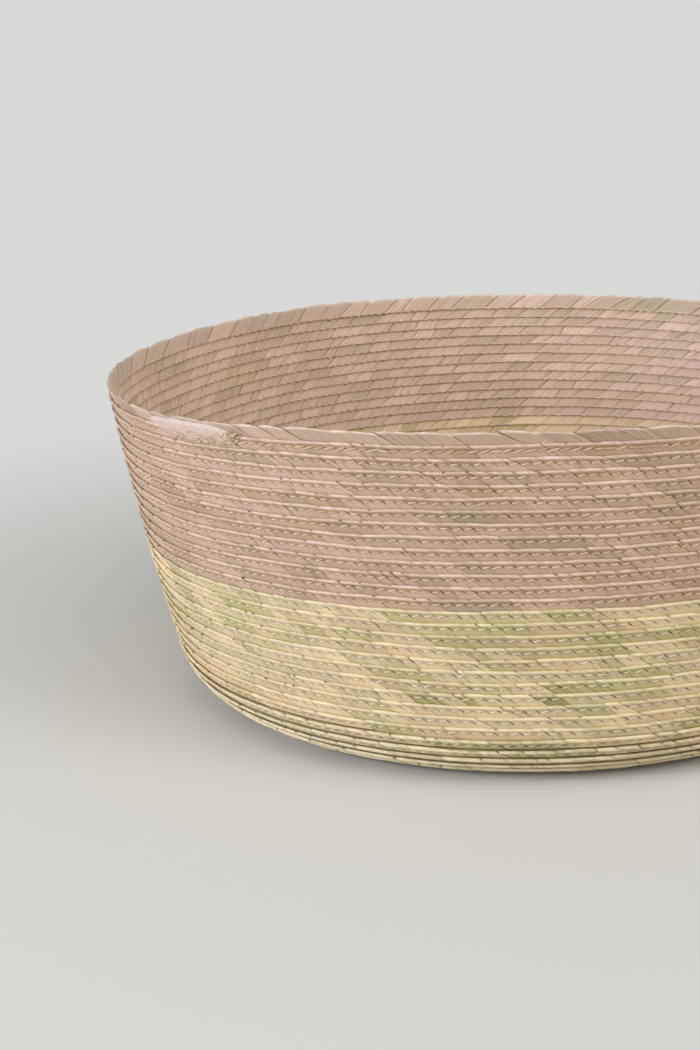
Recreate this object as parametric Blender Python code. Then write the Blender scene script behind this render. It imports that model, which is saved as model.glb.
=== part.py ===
# A round, open palm-leaf basket. One narrow plait is wound in a rising spiral,
# and each turn's upper edge is sewn on outside the lower edge of the turn above.
# Metres, +Z up. The origin is at the centre of the flat underside.
# Angles run counter-clockwise from +X as seen from above, and -Y is the front.

from math import ceil, cos, floor, hypot, pi, radians, sin, tau

import bpy
import numpy as np

# Sizes of the basket, on the middle surface of its wall
rim_radius = 0.223
basket_height = 0.1779
heel_radius = 0.032
foot_flare = radians(11.0)
rim_flare = radians(4.0)

# Sizes of the plait and of its winding
plait_width = 0.0096
plait_thickness = 0.0012
course_pitch = 0.00605
course_gap = 0.00053
floor_lap = 0.0020
pink_turns = 13
rim_turns = 1
steps_per_turn = 32

# Where the plait's ends lie, and how far the last one runs out
end_angle = radians(10.0)
colour_join_angle = radians(150.0)
end_taper_angle = radians(60.0)

# Clearances between neighbouring pieces and above the table
piece_gap = 0.0003
table_gap = 0.0003

# Threads of the seams, and the back tacks over a joint in the plait under the rim. A seam
# runs this far below the upper edge of its turn, and catches the lower edge of the next.
wall_thread_diameter = 0.0007
rim_thread_diameter = 0.0011
thread_drop = 0.0029
tack_length = 0.0042
tack_diameter = 0.0009
tack_angle = radians(-135.0)
tack_spacing_angle = radians(2.9)
tack_lean = radians(22.0)
tack_count = 3
wall_thread_sides = 3
rim_thread_sides = 6

# How far the hand-made rim strays from a level circle, and towards which side
rim_oval = 0.0056
rim_oval_angle = radians(14.0)
rim_trefoil = 0.0023
rim_trefoil_angle = radians(-29.0)
rim_lean = 0.0063
rim_lean_angle = radians(-177.0)
rim_wave = 0.0021
rim_wave_angle = radians(92.0)
rim_ripple = 0.0009
rim_ripple_angle = radians(14.0)
rim_shift = 0.0046
rim_shift_angle = radians(161.0)

# Edges that turn more sharply than this stay crisp where the faces are shaded smooth
crisp_angle = radians(35.0)

# Colour, roughness and metallic value of each material
natural_leaf = ((0.66, 0.56, 0.36, 1.0), 0.7, 0.0)
pink_leaf = ((0.66, 0.45, 0.36, 1.0), 0.7, 0.0)
rim_leaf = ((0.72, 0.53, 0.45, 1.0), 0.65, 0.0)
pale_thread = ((0.60, 0.52, 0.50, 1.0), 0.8, 0.0)
tan_thread = ((0.72, 0.50, 0.25, 1.0), 0.8, 0.0)

# The lap of one turn over the next tilts each strip across the wall: its upper edge
# stands out by this much and its lower edge stands in by as much. Round the heel a flat
# strip also sinks below the curve that its edges lie on.
heel_sink = plait_width**2 / (8 * heel_radius)
lap_rise = plait_thickness + course_gap + heel_sink
edge_offset = lap_rise * plait_width / (2 * course_pitch)
middle_height = table_gap + edge_offset + plait_thickness / 2
floor_thickness = 2 * middle_height

# The meridian is a flat floor, a heel arc and a wall arc, each running into the next.
heel_sweep = pi / 2 - foot_flare
wall_top = pi / 2 - rim_flare
heel_end_height = middle_height + heel_radius * (1 - cos(heel_sweep))
wall_curve_radius = (basket_height - heel_end_height) / (cos(heel_sweep) - cos(wall_top))
heel_end_radius = rim_radius - wall_curve_radius * (sin(wall_top) - sin(heel_sweep))
floor_radius = heel_end_radius - heel_radius * sin(heel_sweep)
heel_length = heel_radius * heel_sweep
wall_length = wall_curve_radius * (wall_top - heel_sweep)
meridian_length = floor_radius + heel_length + wall_length

# Turning angles of the spiral: it ends at the rim, one pitch rises each turn.
first_top = floor_radius - floor_lap + plait_width
start_turn = end_angle - tau * (meridian_length - first_top) / course_pitch
rim_turn = end_angle - tau * rim_turns
colour_turns_back = round((rim_turn - tau * pink_turns - colour_join_angle) / tau)
colour_turn = colour_join_angle + tau * colour_turns_back


def meridian(distance):
    # Radius, height and slope of the middle surface at a distance from the floor's centre
    if distance <= floor_radius:
        return distance, middle_height, 0.0
    if distance <= floor_radius + heel_length:
        slope = (distance - floor_radius) / heel_radius
        radius = floor_radius + heel_radius * sin(slope)
        return radius, middle_height + heel_radius * (1 - cos(slope)), slope
    slope = heel_sweep + (distance - floor_radius - heel_length) / wall_curve_radius
    radius = heel_end_radius + wall_curve_radius * (sin(slope) - sin(heel_sweep))
    height = heel_end_height + wall_curve_radius * (cos(heel_sweep) - cos(slope))
    return radius, height, slope


def beside_meridian(distance, offset):
    # Radius and height of a point that stands out from the middle surface by an offset
    radius, height, slope = meridian(distance)
    return np.array((radius + offset * sin(slope), height - offset * cos(slope)))


def by_hand(radius, height, angle):
    # World position of a point, with the rim's oval, lean and shift growing from the floor up
    rise = max(height - middle_height, 0.0) / basket_height
    oval = rim_oval * cos(2 * (angle - rim_oval_angle))
    trefoil = rim_trefoil * cos(3 * (angle - rim_trefoil_angle))
    lean = rim_lean * cos(angle - rim_lean_angle) * radius / rim_radius
    wave = rim_wave * cos(2 * (angle - rim_wave_angle))
    ripple = rim_ripple * cos(3 * (angle - rim_ripple_angle))
    radius += rise * (oval + trefoil)
    shift = rise * rim_shift
    return (
        radius * cos(angle) + shift * cos(rim_shift_angle),
        radius * sin(angle) + shift * sin(rim_shift_angle),
        height + rise * (lean + wave + ripple),
    )


def spiral_top(turn):
    # Distance of the strip's upper edge from the floor's centre at a turning angle
    return meridian_length + course_pitch * (turn - end_angle) / tau


def strip_point(turn, below_top, offset):
    # Radius and height beside the tilted strip, a distance below its untrimmed upper edge
    top = spiral_top(turn)
    upper = beside_meridian(top, edge_offset)
    lower = beside_meridian(top - plait_width, -edge_offset)
    along = (lower - upper) / np.linalg.norm(lower - upper)
    outward = np.array((-along[1], along[0]))
    return upper + along * below_top + outward * offset


def end_trim(turn):
    # The rim's plait runs out at its end: its upper edge comes down to the turn before
    share = (turn - (end_angle - end_taper_angle)) / end_taper_angle
    share = min(max(share, 0.0), 1.0)
    return course_pitch * share * share * (3 - 2 * share)


def turning_angles(first, last):
    # A stretch's two ends and, between them, the steps of the angular grid that all turns share
    step = tau / steps_per_turn
    clear_share = 0.02
    inner = range(ceil(first / step + clear_share), floor(last / step - clear_share) + 1)
    return [first] + [number * step for number in inner] + [last]


def on_facet(points_at, turn):
    # World points at a turning angle, on the flat facet between two steps of the grid
    step = tau / steps_per_turn
    before = floor(turn / step)
    share = turn / step - before
    here = np.array(points_at(before * step))
    there = np.array(points_at((before + 1) * step))
    return [tuple(point) for point in here + (there - here) * share]


def leaf_material(name, finish):
    # A plain Principled material from its colour, roughness and metallic value
    material = bpy.data.materials.new(name)
    material.use_nodes = True
    shader = material.node_tree.nodes["Principled BSDF"]
    shader.inputs["Base Color"].default_value = finish[0]
    shader.inputs["Roughness"].default_value = finish[1]
    shader.inputs["Metallic"].default_value = finish[2]
    material.diffuse_color = finish[0]
    return material


def add_piece(name, points, faces, finish):
    # One named object from its points and faces
    mesh = bpy.data.meshes.new(name)
    mesh.from_pydata(points, [], faces)
    mesh.validate()
    mesh.shade_smooth()
    mesh.set_sharp_from_angle(angle=crisp_angle)
    mesh.materials.append(leaf_material(name, finish))
    piece = bpy.data.objects.new(name, mesh)
    bpy.context.collection.objects.link(piece)
    return piece


def loft(sections):
    # Points and faces of a closed body through a list of alike, closed sections
    count = len(sections[0])
    points = [point for section in sections for point in section]
    faces = []
    for row in range(len(sections) - 1):
        for column in range(count):
            after = (column + 1) % count
            base = row * count
            faces.append((base + after, base + column, base + count + column, base + count + after))
    faces.append(tuple(range(count)))
    faces.append(tuple(reversed(range(len(points) - count, len(points)))))
    return points, faces


def strip_section(turn):
    # The plait's four corners: outer top, inner top, inner bottom, outer bottom
    trim = end_trim(turn)
    half = plait_thickness / 2
    corners = ((trim, half), (trim, -half), (plait_width, -half), (plait_width, half))
    section = [strip_point(turn, below, offset) for below, offset in corners]
    return [by_hand(radius, height, turn) for radius, height in section]


def plait_turns(name, first, last, finish):
    # A stretch of the wound plait, drawn back a little where it meets the next stretch
    pull = piece_gap / 2 / meridian(spiral_top(first))[0]
    sections = [on_facet(strip_section, turn) for turn in turning_angles(first + pull, last - pull)]
    points, faces = loft(sections)
    return add_piece(name, points, faces, finish)


def floor_edge(turn):
    # Under and upper point of the floor's edge, just inside the lower edge of the first turn
    radius = strip_point(turn, plait_width, 0.0)[0] - plait_thickness / 2 - piece_gap
    x, y = radius * cos(turn), radius * sin(turn)
    return [(x, y, 0.0), (x, y, floor_thickness)]


def floor_disc():
    # The floor's turns as one flat round solid, with a step where the plait leaves it
    edge = [on_facet(floor_edge, turn) for turn in turning_angles(start_turn, start_turn + tau)]
    under = [pair[0] for pair in edge]
    upper = [pair[1] for pair in edge]
    count = len(edge)
    points = under + upper + [(0.0, 0.0, 0.0), (0.0, 0.0, floor_thickness)]
    faces = []
    for number in range(count):
        after = (number + 1) % count
        faces.append((number, after, count + after, count + number))
        faces.append((after, number, 2 * count))
        faces.append((count + number, count + after, 2 * count + 1))
    return add_piece("floor_plait", points, faces, natural_leaf)


def thread_section(turn, below_top, stand, radius, sides):
    # A round section beside the strip, its middle standing off the strip's own middle
    section = []
    for side in range(sides):
        around = tau * side / sides
        place = strip_point(turn, below_top + radius * cos(around), stand + radius * sin(around))
        section.append(by_hand(*place, turn))
    return section


def seam_thread(name, first, last, diameter_and_sides, finish):
    # One seam's thread, which lies along the outer face of the turns that it sews
    diameter, sides = diameter_and_sides
    radius = diameter / 2
    stand = plait_thickness / 2 + piece_gap + radius
    pull = piece_gap / 2 / meridian(spiral_top(first))[0]

    def section_at(turn):
        return thread_section(turn, thread_drop, stand, radius, sides)

    sections = [on_facet(section_at, turn) for turn in turning_angles(first + pull, last - pull)]
    points, faces = loft(sections)
    return add_piece(name, points, faces, finish)


def back_tack(number):
    # One short bar of back stitches over the plait's joint, lying on the course under the rim
    middle = tack_angle - tau * rim_turns - tack_spacing_angle * number
    radius = tack_diameter / 2
    stand = plait_thickness / 2 + piece_gap + rim_thread_diameter + piece_gap + radius
    sections = []
    for along in (-tack_length / 2, tack_length / 2):
        below = thread_drop - along * sin(tack_lean)

        def section_at(turn):
            return thread_section(turn, below, stand, radius, rim_thread_sides)

        sections.append(on_facet(section_at, middle + along * cos(tack_lean) / rim_radius))
    points, faces = loft(sections)
    return add_piece(f"back_tack_{number}", points, faces, tan_thread)


def section_outline(turn):
    # The strip's section as radius and height pairs, closed
    half = plait_thickness / 2
    corners = ((0.0, half), (0.0, -half), (plait_width, -half), (plait_width, half))
    return [strip_point(turn, below, offset) for below, offset in corners]


def least_self_gap():
    # Least distance between a turn's section and the next one's, measured on points
    samples = 24
    shares = [number / samples for number in range(samples)]
    turns = [start_turn + tau * number for number in range(int((rim_turn - start_turn) / tau))]
    least = plait_width
    for turn in turns:
        clouds = []
        for outline in (section_outline(turn), section_outline(turn + tau)):
            edges = zip(outline, outline[1:] + outline[:1])
            clouds.append([a + (b - a) * share for a, b in edges for share in shares])
        near = min(hypot(*(a - b)) for a in clouds[0] for b in clouds[1])
        least = min(least, near)
    return least


for old in list(bpy.data.objects):
    bpy.data.objects.remove(old, do_unlink=True)

floor_disc()
plait_turns("natural_wall_plait", start_turn, colour_turn, natural_leaf)
plait_turns("pink_wall_plait", colour_turn, rim_turn, pink_leaf)
plait_turns("rim_plait", rim_turn, end_angle, rim_leaf)
fine_thread = (wall_thread_diameter, wall_thread_sides)
heavy_thread = (rim_thread_diameter, rim_thread_sides)
seam_thread("natural_wall_thread", start_turn, colour_turn, fine_thread, pale_thread)
seam_thread("pink_wall_thread", colour_turn, rim_turn - tau, fine_thread, tan_thread)
seam_thread("rim_thread", rim_turn - tau, rim_turn, heavy_thread, tan_thread)
for tack in range(1, tack_count + 1):
    back_tack(tack)

print(f"least gap of the plait to its next turn: {1000 * least_self_gap():.3f} mm")
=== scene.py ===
from math import cos, pi, radians, sin, tau

import bpy
import numpy as np
from mathutils import Matrix, Vector


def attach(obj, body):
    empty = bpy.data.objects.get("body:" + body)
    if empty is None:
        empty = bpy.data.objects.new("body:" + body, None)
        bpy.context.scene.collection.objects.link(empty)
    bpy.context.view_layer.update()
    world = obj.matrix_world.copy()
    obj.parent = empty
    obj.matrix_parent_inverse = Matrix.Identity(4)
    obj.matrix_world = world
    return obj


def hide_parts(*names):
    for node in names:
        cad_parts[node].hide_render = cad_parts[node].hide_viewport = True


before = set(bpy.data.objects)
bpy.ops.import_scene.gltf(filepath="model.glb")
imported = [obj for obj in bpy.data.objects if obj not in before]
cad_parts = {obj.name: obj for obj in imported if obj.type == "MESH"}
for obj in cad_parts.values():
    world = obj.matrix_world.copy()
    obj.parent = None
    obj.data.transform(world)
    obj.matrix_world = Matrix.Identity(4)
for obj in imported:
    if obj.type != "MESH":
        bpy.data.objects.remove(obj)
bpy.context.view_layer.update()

# Camera: the photograph looks down at the front of the basket from a little to its left
photo = {
    "height": 1050,  # pixels, on the long side
    "focal": 1857.9,  # pixels
    "sensor": 36.0,  # millimetres, on the long side
    "place": (-0.1055, -1.0175, 0.3650),
    "pitchDown": 15.59,  # degrees
    "roll": -3.23,
}


def makeCamera():
    pitch, roll = radians(photo["pitchDown"]), radians(photo["roll"])
    right = Vector((1, 0, 0))
    ahead = Vector((0, cos(pitch), -sin(pitch)))
    up = right.cross(ahead)
    acrossPicture = cos(roll) * right + sin(roll) * up
    upPicture = cos(roll) * up - sin(roll) * right
    turned = Matrix((acrossPicture, upPicture, -ahead)).transposed().to_4x4()
    data = bpy.data.cameras.new("photoView")
    data.sensor_width = photo["sensor"]
    data.lens = photo["sensor"] * photo["focal"] / photo["height"]
    data.clip_start = 0.01
    camera = bpy.data.objects.new("photoView", data)
    bpy.context.collection.objects.link(camera)
    camera.matrix_world = Matrix.Translation(photo["place"]) @ turned
    bpy.context.scene.camera = camera


makeCamera()
print("camera made")


# Nodes, for geometry and for materials. A nodeValue is one socket that sums can be written with.
class nodeValue:
    def __init__(self, tree, socket):
        self.tree = tree
        self.socket = socket

    def __add__(self, other):
        return nodeMath(self.tree, "ADD", self, other)

    def __radd__(self, other):
        return nodeMath(self.tree, "ADD", other, self)

    def __sub__(self, other):
        return nodeMath(self.tree, "SUBTRACT", self, other)

    def __rsub__(self, other):
        return nodeMath(self.tree, "SUBTRACT", other, self)

    def __mul__(self, other):
        return nodeMath(self.tree, "MULTIPLY", self, other)

    def __rmul__(self, other):
        return nodeMath(self.tree, "MULTIPLY", other, self)

    def __truediv__(self, other):
        return nodeMath(self.tree, "DIVIDE", self, other)

    def __rtruediv__(self, other):
        return nodeMath(self.tree, "DIVIDE", other, self)


def plug(tree, value, socket):
    if isinstance(value, nodeValue):
        tree.links.new(value.socket, socket)
    else:
        socket.default_value = value


def nodeMath(tree, operation, *values):
    node = tree.nodes.new("ShaderNodeMath")
    node.operation = operation
    for place, value in enumerate(values):
        plug(tree, value, node.inputs[place])
    return nodeValue(tree, node.outputs[0])


def sine(value):
    return nodeMath(value.tree, "SINE", value)


def cosine(value):
    return nodeMath(value.tree, "COSINE", value)


def lesser(value, other):
    return nodeMath(value.tree, "MINIMUM", value, other)


def greater(value, other):
    return nodeMath(value.tree, "MAXIMUM", value, other)


def absolute(value):
    return nodeMath(value.tree, "ABSOLUTE", value)


def smoothRise(value, first, last):
    # 0 before first, 1 after last, with a smooth step between
    share = lesser(greater((value - first) / (last - first), 0.0), 1.0)
    return share * share * (3.0 - 2.0 * share)


def addNode(tree, kind, inputs=None, **settings):
    node = tree.nodes.new(kind)
    for title, value in settings.items():
        setattr(node, title, value)
    for title, value in (inputs or {}).items():
        plug(tree, value, next(s for s in node.inputs if s.name == title and s.enabled))
    return node


def output(node, title=None):
    socket = next(s for s in node.outputs if s.enabled and (title is None or s.name == title))
    return nodeValue(node.id_data, socket)


def joinXyz(tree, x, y, z):
    return output(addNode(tree, "ShaderNodeCombineXYZ", {"X": x, "Y": y, "Z": z}))


def splitXyz(vector):
    node = addNode(vector.tree, "ShaderNodeSeparateXYZ", {"Vector": vector})
    return [output(node, title) for title in "XYZ"]


def newTree(name, kind, takes, gives):
    # A node group with its named inputs and outputs. An input is a number or (socket type, default).
    tree = bpy.data.node_groups.new(name, kind)
    for title, value in takes.items():
        socketType, default = value if isinstance(value, tuple) else ("NodeSocketFloat", value)
        socket = tree.interface.new_socket(title, in_out="INPUT", socket_type=socketType)
        if default is not None:
            socket.default_value = default
    for title, socketType in gives.items():
        tree.interface.new_socket(title, in_out="OUTPUT", socket_type=socketType)
    source = tree.nodes.new("NodeGroupInput")
    given = {title: nodeValue(tree, source.outputs[title]) for title in takes}
    return tree, given, tree.nodes.new("NodeGroupOutput")


def useGroup(tree, group, inputs):
    kind = "GeometryNodeGroup" if tree.bl_idname == "GeometryNodeTree" else "ShaderNodeGroup"
    return addNode(tree, kind, inputs, node_tree=group)


# The basket's own sizes, which the frame was made with, in metres and degrees
basket = {
    "rimRadius": 0.223,
    "height": 0.1779,
    "heelRadius": 0.032,
    "footFlare": 11.0,
    "rimFlare": 4.0,
    "plaitWidth": 0.0096,
    "plaitThickness": 0.0012,
    "pitch": 0.00605,
    "courseGap": 0.00053,
    "threadMargin": 0.00065,
    "floorLap": 0.0020,
    "tableGap": 0.0003,
    "pinkTurns": 13,
    "endAngle": 10.0,
    "colourJoinAngle": 150.0,
    "endTaper": 60.0,
    "jointAngle": -135.0,  # where a joint of the plait is stitched down under the rim
}
width, pitch = basket["plaitWidth"], basket["pitch"]
lapRise = basket["plaitThickness"] + basket["courseGap"] + width**2 / (8 * basket["heelRadius"])
threadDrop = width - pitch - basket["threadMargin"]
middleHeight = basket["tableGap"] + lapRise * width / (2 * pitch) + basket["plaitThickness"] / 2
heelRadius = basket["heelRadius"]
heelSweep = pi / 2 - radians(basket["footFlare"])
wallTop = pi / 2 - radians(basket["rimFlare"])
heelEndHeight = middleHeight + heelRadius * (1 - cos(heelSweep))
wallRadius = (basket["height"] - heelEndHeight) / (cos(heelSweep) - cos(wallTop))
heelEndRadius = basket["rimRadius"] - wallRadius * (sin(wallTop) - sin(heelSweep))
floorRadius = heelEndRadius - heelRadius * sin(heelSweep)
heelLength = heelRadius * heelSweep
meridianLength = floorRadius + heelLength + wallRadius * (wallTop - heelSweep)
endAngle = radians(basket["endAngle"])
rimTurn = endAngle - tau
startTurn = endAngle - tau * (meridianLength - floorRadius + basket["floorLap"] - width) / pitch
joinAngle = radians(basket["colourJoinAngle"])
colourTurn = joinAngle + tau * round((rimTurn - tau * basket["pinkTurns"] - joinAngle) / tau)
jointTurn = radians(basket["jointAngle"]) - tau
centreTop = width + 0.0006  # the plait's upper edge where it starts at the middle of the floor
centreTurn = endAngle - tau * (meridianLength - centreTop) / pitch

# What every tree takes to find its place on the basket
surfaceSizes = {
    "Pitch": pitch,
    "Plait Width": width,
    "Tilt": 0.00082,  # how far the upper edge stands out and the lower one in, sewn down tight
    "Middle Height": middleHeight,
    "Floor Radius": floorRadius,
    "Heel Radius": heelRadius,
    "Heel Sweep": heelSweep,
    "Wall Radius": wallRadius,
    "Meridian Length": meridianLength,
    "End Angle": endAngle,
    "Rim Radius": basket["rimRadius"],
    "Height": basket["height"],
    "Oval": 0.0056,  # how far the hand-made rim strays from a level circle
    "Oval Angle": radians(14.0),
    "Trefoil": 0.0023,
    "Trefoil Angle": radians(-29.0),
    "Lean": 0.0063,
    "Lean Angle": radians(-177.0),
    "Wave": 0.0021,
    "Wave Angle": radians(92.0),
    "Ripple": 0.0009,
    "Ripple Angle": radians(14.0),
    "Shift": 0.0046,
    "Shift Angle": radians(161.0),
    "Wobble": 0.0013,  # unevenness of the whole wall, and waves of it to the metre
    "Wobble Scale": 15.0,
    "Wobble Height": 0.030,  # where it is fully grown, because the floor lies flat
    "Settle": 0.0008,  # how far the floor sinks until it rests on the table
}


def besideMeridian(sizes, distance, offset):
    # Radius and height of a point that stands out from the middle surface by an offset
    heelSlope = greater((distance - sizes["Floor Radius"]) / sizes["Heel Radius"], 0.0)
    heelSlope = lesser(heelSlope, sizes["Heel Sweep"])
    heelArc = sizes["Heel Radius"] * sizes["Heel Sweep"]
    wallSlope = greater((distance - sizes["Floor Radius"] - heelArc) / sizes["Wall Radius"], 0.0)
    slope = heelSlope + wallSlope
    turned = sizes["Heel Sweep"] + wallSlope
    radius = lesser(distance, sizes["Floor Radius"]) + sizes["Heel Radius"] * sine(heelSlope)
    radius = radius + sizes["Wall Radius"] * (sine(turned) - sine(sizes["Heel Sweep"]))
    height = sizes["Middle Height"] + sizes["Heel Radius"] * (1.0 - cosine(heelSlope))
    height = height + sizes["Wall Radius"] * (cosine(sizes["Heel Sweep"]) - cosine(turned))
    return radius + offset * sine(slope), height - offset * cosine(slope)


def surfaceGroup():
    # From a turning angle, a distance below the plait's upper edge and an offset to a place
    takes = {"Turn": 0.0, "Below": 0.0, "Offset": 0.0, **surfaceSizes}
    tree, given, target = newTree("basketSurface", "GeometryNodeTree", takes, {"Position": "NodeSocketVector"})
    turn, below = given["Turn"], given["Below"]
    top = given["Meridian Length"] + given["Pitch"] * (turn - given["End Angle"]) / tau
    tilt = given["Tilt"] * (1.0 - 2.0 * below / given["Plait Width"])
    radius, height = besideMeridian(given, top - below, tilt + given["Offset"])
    rise = greater(height - given["Middle Height"], 0.0) / given["Height"]
    oval = given["Oval"] * cosine(2.0 * (turn - given["Oval Angle"]))
    trefoil = given["Trefoil"] * cosine(3.0 * (turn - given["Trefoil Angle"]))
    lean = given["Lean"] * cosine(turn - given["Lean Angle"]) * radius / given["Rim Radius"]
    wave = given["Wave"] * cosine(2.0 * (turn - given["Wave Angle"]))
    ripple = given["Ripple"] * cosine(3.0 * (turn - given["Ripple Angle"]))
    radius = radius + rise * (oval + trefoil)
    shift = rise * given["Shift"]
    x = radius * cosine(turn) + shift * cosine(given["Shift Angle"])
    y = radius * sine(turn) + shift * sine(given["Shift Angle"])
    z = height + rise * (lean + wave + ripple)
    noise = {"Vector": joinXyz(tree, x, y, z), "Scale": given["Wobble Scale"], "Detail": 1.0}
    moved = splitXyz(output(addNode(tree, "ShaderNodeTexNoise", noise), "Color"))
    share = lesser(height / given["Wobble Height"], 1.0)
    grown = given["Wobble"] * share
    z = z - given["Settle"] * (1.0 - share)
    place = [old + grown * (new - 0.5) for old, new in zip((x, y, z), moved)]
    plug(tree, joinXyz(tree, *place), target.inputs["Position"])
    return tree


basketSurface = surfaceGroup()


def wanderGroup():
    # Each course's upper edge wanders up and down by itself, and less so further below
    takes = {"Run": 0.0, "Below": 0.0, "Amount": 0.0024, "Waves": 15.0, "Reach": 0.0068}
    tree, given, target = newTree("courseWander", "GeometryNodeTree", takes, {"Below": "NodeSocketFloat"})
    inputs = {"W": given["Run"] * given["Waves"], "Scale": 1.0, "Detail": 3.0, "Roughness": 0.66}
    strayed = output(addNode(tree, "ShaderNodeTexNoise", inputs, noise_dimensions="1D")) - 0.5
    reach = greater(1.0 - given["Below"] / given["Reach"], 0.0)
    plug(tree, given["Below"] + given["Amount"] * strayed * reach, target.inputs["Below"])
    return tree


courseWander = wanderGroup()


def wandered(tree, run, below, amount):
    return output(useGroup(tree, courseWander, {"Run": run, "Below": below, "Amount": amount}))


def named(tree, title, dataType="FLOAT"):
    node = addNode(tree, "GeometryNodeInputNamedAttribute", {"Name": title}, data_type=dataType)
    return output(node, "Attribute")


def store(geometry, title, value, dataType="FLOAT"):
    inputs = {"Geometry": geometry, "Name": title, "Value": value}
    return output(addNode(geometry.tree, "GeometryNodeStoreNamedAttribute", inputs, data_type=dataType))


def instanced(tree, given, shape):
    # One shape on every loose point, made real. The points' values stay on the new vertices.
    held = output(addNode(tree, "GeometryNodeObjectInfo", {"Object": given[shape]}), "Geometry")
    inputs = {"Points": given["Points"], "Instance": held}
    copies = output(addNode(tree, "GeometryNodeInstanceOnPoints", inputs))
    return output(addNode(tree, "GeometryNodeRealizeInstances", {"Geometry": copies}))


def placed(tree, given, geometry, along, below, offset):
    # Local places along, below and off the plait's upper edge become places on the basket
    turn = named(tree, "turn") + along / named(tree, "pace")
    where = {"Turn": turn, "Below": below, "Offset": offset}
    position = output(useGroup(tree, basketSurface, where))
    inputs = {"Geometry": geometry, "Position": position}
    geometry = output(addNode(tree, "GeometryNodeSetPosition", inputs))
    geometry = output(addNode(tree, "GeometryNodeFlipFaces", {"Mesh": geometry}))
    inputs = {"Geometry": geometry, "Material": given["Material"]}
    return output(addNode(tree, "GeometryNodeSetMaterial", inputs))


treeInputs = {
    "Points": ("NodeSocketGeometry", None),
    "Shape": ("NodeSocketObject", None),
    "Material": ("NodeSocketMaterial", None),
}


def leafTree():
    # Each leaf lies between two slanting seams. Its upper edge bows up between two notches.
    takes = {
        **treeInputs,
        "Ridge Reach": 0.0025,
        "Notch": 0.00022,
        "Notch From": 0.72,
        "Pillow": 0.00003,
        "Wander": 0.0024,
        "Slit Reach": 0.0050,
        "Trim": pitch,
        "Taper": radians(basket["endTaper"]),
        "Stitch Pitch": 0.0054,
        "Width": width,
        "End Angle": endAngle,
    }
    tree, given, target = newTree("leavesOfPlait", "GeometryNodeTree", takes, {"Mesh": "NodeSocketGeometry"})
    leaves = instanced(tree, given, "Shape")
    local = output(addNode(tree, "GeometryNodeInputPosition"))
    share, down, off = splitXyz(local)
    length = named(tree, "leafLength")
    fromMiddle = down - given["Width"] / 2.0
    left = named(tree, "slantLeft") * fromMiddle
    right = length + named(tree, "slantRight") * fromMiddle
    slitReach = greater(1.0 - down / given["Slit Reach"], 0.0)
    left = left + named(tree, "slit") * slitReach
    along = left + share * (right - left)
    run = named(tree, "runStart") + along
    side = 2.0 * share - 1.0
    bowed = side * side
    reach = greater(1.0 - down / given["Ridge Reach"], 0.0)
    notch = given["Notch"] * smoothRise(absolute(side), given["Notch From"], 1.02)
    below = down + reach * (named(tree, "rise") + named(tree, "droop") * share * share + notch)
    below = wandered(tree, run, below, given["Wander"])
    turn = named(tree, "turn") + along / named(tree, "pace")
    trim = given["Trim"] * smoothRise(turn, given["End Angle"] - given["Taper"], given["End Angle"])
    below = trim + below * (1.0 - trim / given["Width"])
    offset = off * named(tree, "swell")
    offset = offset + named(tree, "lift") * (share - 0.5) - given["Pillow"] * bowed
    offset = offset + named(tree, "gape") * reach
    across = share * length + named(tree, "grainShift")
    leaves = store(leaves, "leafPlace", joinXyz(tree, across, down, off), "FLOAT_VECTOR")
    leaves = store(leaves, "leafShare", share)
    leaves = store(leaves, "leafRun", run / given["Stitch Pitch"])
    # the leaf's own place is read above before it is moved, so it is kept first
    kept = joinXyz(tree, along, below, offset)
    leaves = store(leaves, "stripPlace", kept, "FLOAT_VECTOR")
    along, below, offset = splitXyz(named(tree, "stripPlace", "FLOAT_VECTOR"))
    plug(tree, placed(tree, given, leaves, along, below, offset), target.inputs["Mesh"])
    return tree


def stitchTree():
    # One tapered length of thread to a stitch, curved like an S, its ends drawn into the leaf
    takes = {
        **treeInputs,
        "Length": 0.0036,
        "Radius": 0.00040,
        "Below": threadDrop,
        "Wander": 0.0024,
        "Stand": 0.0005,
        "Bend": 0.00012,
        "Side": 1.0,  # 1 outside the wall, -1 inside it
    }
    tree, given, target = newTree("stitchesOfSeam", "GeometryNodeTree", takes, {"Mesh": "NodeSocketGeometry"})
    stitches = instanced(tree, given, "Shape")
    share, sideways, off = splitXyz(output(addNode(tree, "GeometryNodeInputPosition")))
    stretch = named(tree, "stretch")
    along = share * given["Length"] * stretch
    below = given["Below"] + named(tree, "stray") + sideways * given["Radius"] - along * named(tree, "lean")
    below = below - given["Bend"] * sine(share * tau)
    below = wandered(tree, named(tree, "runStart") + along, below, given["Wander"])
    offset = given["Side"] * (given["Stand"] + off * given["Radius"] + named(tree, "loose"))
    place = joinXyz(tree, along, nodeMath(tree, "ARCTAN2", sideways, off) / tau, named(tree, "shade"))
    stitches = store(stitches, "threadPlace", place, "FLOAT_VECTOR")
    stitches = store(stitches, "stripPlace", joinXyz(tree, along, below, offset), "FLOAT_VECTOR")
    along, below, offset = splitXyz(named(tree, "stripPlace", "FLOAT_VECTOR"))
    plug(tree, placed(tree, given, stitches, along, below, offset), target.inputs["Mesh"])
    return tree


leavesOfPlait = leafTree()
stitchesOfSeam = stitchTree()


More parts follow.
